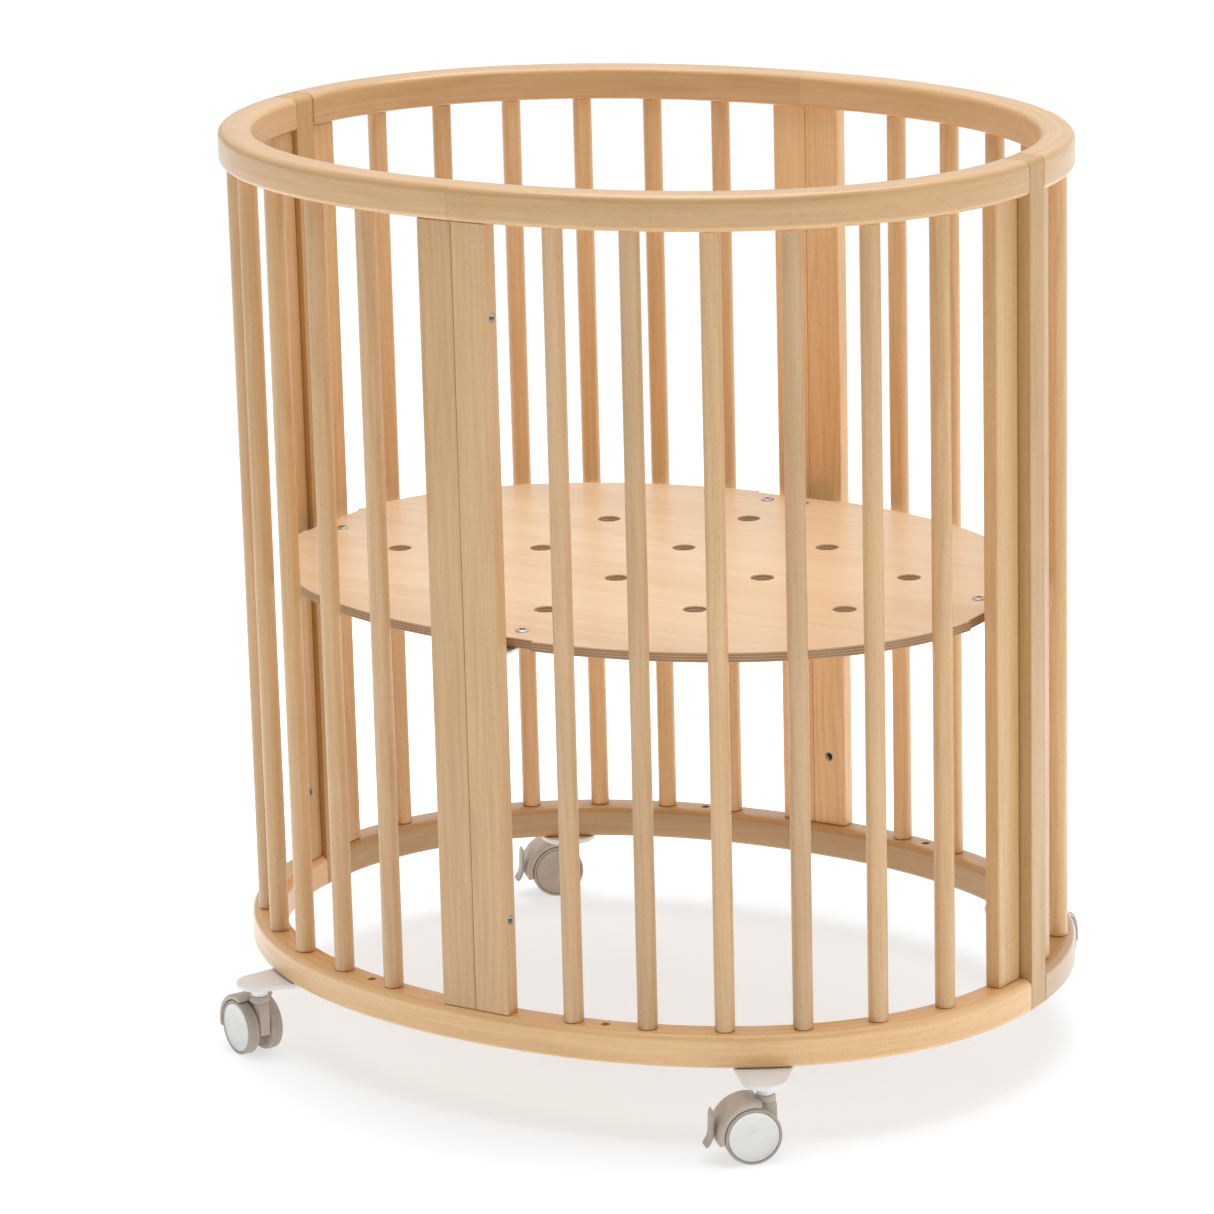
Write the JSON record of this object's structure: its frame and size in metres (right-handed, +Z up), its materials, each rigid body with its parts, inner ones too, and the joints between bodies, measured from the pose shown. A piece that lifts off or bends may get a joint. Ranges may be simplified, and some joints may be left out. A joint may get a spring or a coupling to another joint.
{
  "type": "baby crib",
  "caption": "Oval wooden baby crib with round slats, flat joint boards, a pierced plywood mattress base and swivel casters.",
  "frame": {"origin": "on the floor under the centre of the crib", "axes": "+Z up, +X along the crib's long side, -Y out of the front"},
  "size_m": [0.82, 0.653, 0.87],
  "materials": {
    "rail_beech": "clear satin lacquer on steam-bent beech",
    "upright_beech": "clear satin lacquer on straight-grained beech",
    "base_plywood": "clear lacquer on beech plywood",
    "bracket_steel": "zinc-plated",
    "pad_plastic": "matte moulded",
    "housing_plastic": "matte moulded",
    "wheel_plastic": "matte moulded",
    "lever_plastic": "matte moulded"
  },
  "bodies": {
    "crib_frame": {"top_rail_front_right": "rail_beech", "top_rail_back_right": "rail_beech", "top_rail_back_left": "rail_beech", "top_rail_front_left": "rail_beech", "bottom_rail_front": "rail_beech", "bottom_rail_back": "rail_beech", "end_post_left": "upright_beech", "end_post_right": "upright_beech", "side_board_front_right": "upright_beech", "end_board_front_right": "upright_beech", "side_board_back_right": "upright_beech", "end_board_back_right": "upright_beech", "side_board_back_left": "upright_beech", "end_board_back_left": "upright_beech", "side_board_front_left": "upright_beech", "end_board_front_left": "upright_beech", "slat_front_right_1": "upright_beech", "slat_front_right_2": "upright_beech", "slat_front_right_3": "upright_beech", "slat_front_right_4": "upright_beech", "slat_front_right_5": "upright_beech", "slat_front_right_6": "upright_beech", "slat_back_right_1": "upright_beech", "slat_back_right_2": "upright_beech", "slat_back_right_3": "upright_beech", "slat_back_right_4": "upright_beech", "slat_back_right_5": "upright_beech", "slat_back_right_6": "upright_beech", "slat_back_left_1": "upright_beech", "slat_back_left_2": "upright_beech", "slat_back_left_3": "upright_beech", "slat_back_left_4": "upright_beech", "slat_back_left_5": "upright_beech", "slat_back_left_6": "upright_beech", "slat_front_left_1": "upright_beech", "slat_front_left_2": "upright_beech", "slat_front_left_3": "upright_beech", "slat_front_left_4": "upright_beech", "slat_front_left_5": "upright_beech", "slat_front_left_6": "upright_beech", "mattress_base": "base_plywood", "base_bracket_front": "bracket_steel", "base_bracket_back": "bracket_steel", "base_bracket_left": "bracket_steel", "base_bracket_right": "bracket_steel", "caster_pad_front_right": "pad_plastic", "caster_pad_back_right": "pad_plastic", "caster_pad_back_left": "pad_plastic", "caster_pad_front_left": "pad_plastic"},
    "swivel_front_right": {"caster_housing_front_right": "housing_plastic"},
    "wheel_front_right": {"caster_wheel_front_right": "wheel_plastic"},
    "lever_front_right": {"brake_lever_front_right": "lever_plastic"},
    "swivel_front_left": {"caster_housing_front_left": "housing_plastic"},
    "wheel_front_left": {"caster_wheel_front_left": "wheel_plastic"},
    "swivel_back_left": {"caster_housing_back_left": "housing_plastic"},
    "wheel_back_left": {"caster_wheel_back_left": "wheel_plastic"},
    "lever_back_left": {"brake_lever_back_left": "lever_plastic"},
    "swivel_back_right": {"caster_housing_back_right": "housing_plastic"},
    "wheel_back_right": {"caster_wheel_back_right": "wheel_plastic"}
  },
  "joints": [
    {"name": "swivel_turn_front_right", "type": "hinge", "parent": "crib_frame", "child": "swivel_front_right", "pos_m": [0.277, -0.276, 0.06], "axis": [0, 0, 1], "continuous": true},
    {"name": "wheel_roll_front_right", "type": "hinge", "parent": "swivel_front_right", "child": "wheel_front_right", "pos_m": [0.26604, -0.28696, 0.0265], "axis": [-0.7071, 0.7071, 0], "continuous": true},
    {"name": "brake_press_front_right", "type": "hinge", "parent": "swivel_front_right", "child": "lever_front_right", "pos_m": [0.24072, -0.31228, 0.025], "axis": [-0.7071, 0.7071, 0], "range_deg": [0, 12]},
    {"name": "swivel_turn_front_left", "type": "hinge", "parent": "crib_frame", "child": "swivel_front_left", "pos_m": [-0.277, -0.276, 0.06], "axis": [0, 0, 1], "continuous": true},
    {"name": "wheel_roll_front_left", "type": "hinge", "parent": "swivel_front_left", "child": "wheel_front_left", "pos_m": [-0.29105, -0.26945, 0.0265], "axis": [0.4226, 0.9063, 0], "continuous": true},
    {"name": "swivel_turn_back_left", "type": "hinge", "parent": "crib_frame", "child": "swivel_back_left", "pos_m": [-0.277, 0.276, 0.06], "axis": [0, 0, 1], "continuous": true},
    {"name": "wheel_roll_back_left", "type": "hinge", "parent": "swivel_back_left", "child": "wheel_back_left", "pos_m": [-0.28796, 0.26504, 0.0265], "axis": [-0.7071, 0.7071, 0], "continuous": true},
    {"name": "brake_press_back_left", "type": "hinge", "parent": "swivel_back_left", "child": "lever_back_left", "pos_m": [-0.31328, 0.23972, 0.025], "axis": [-0.7071, 0.7071, 0], "range_deg": [0, 12]},
    {"name": "swivel_turn_back_right", "type": "hinge", "parent": "crib_frame", "child": "swivel_back_right", "pos_m": [0.277, 0.276, 0.06], "axis": [0, 0, 1], "continuous": true},
    {"name": "wheel_roll_back_right", "type": "hinge", "parent": "swivel_back_right", "child": "wheel_back_right", "pos_m": [0.27431, 0.29126, 0.0265], "axis": [0.9848, 0.1736, 0], "continuous": true}
  ]
}
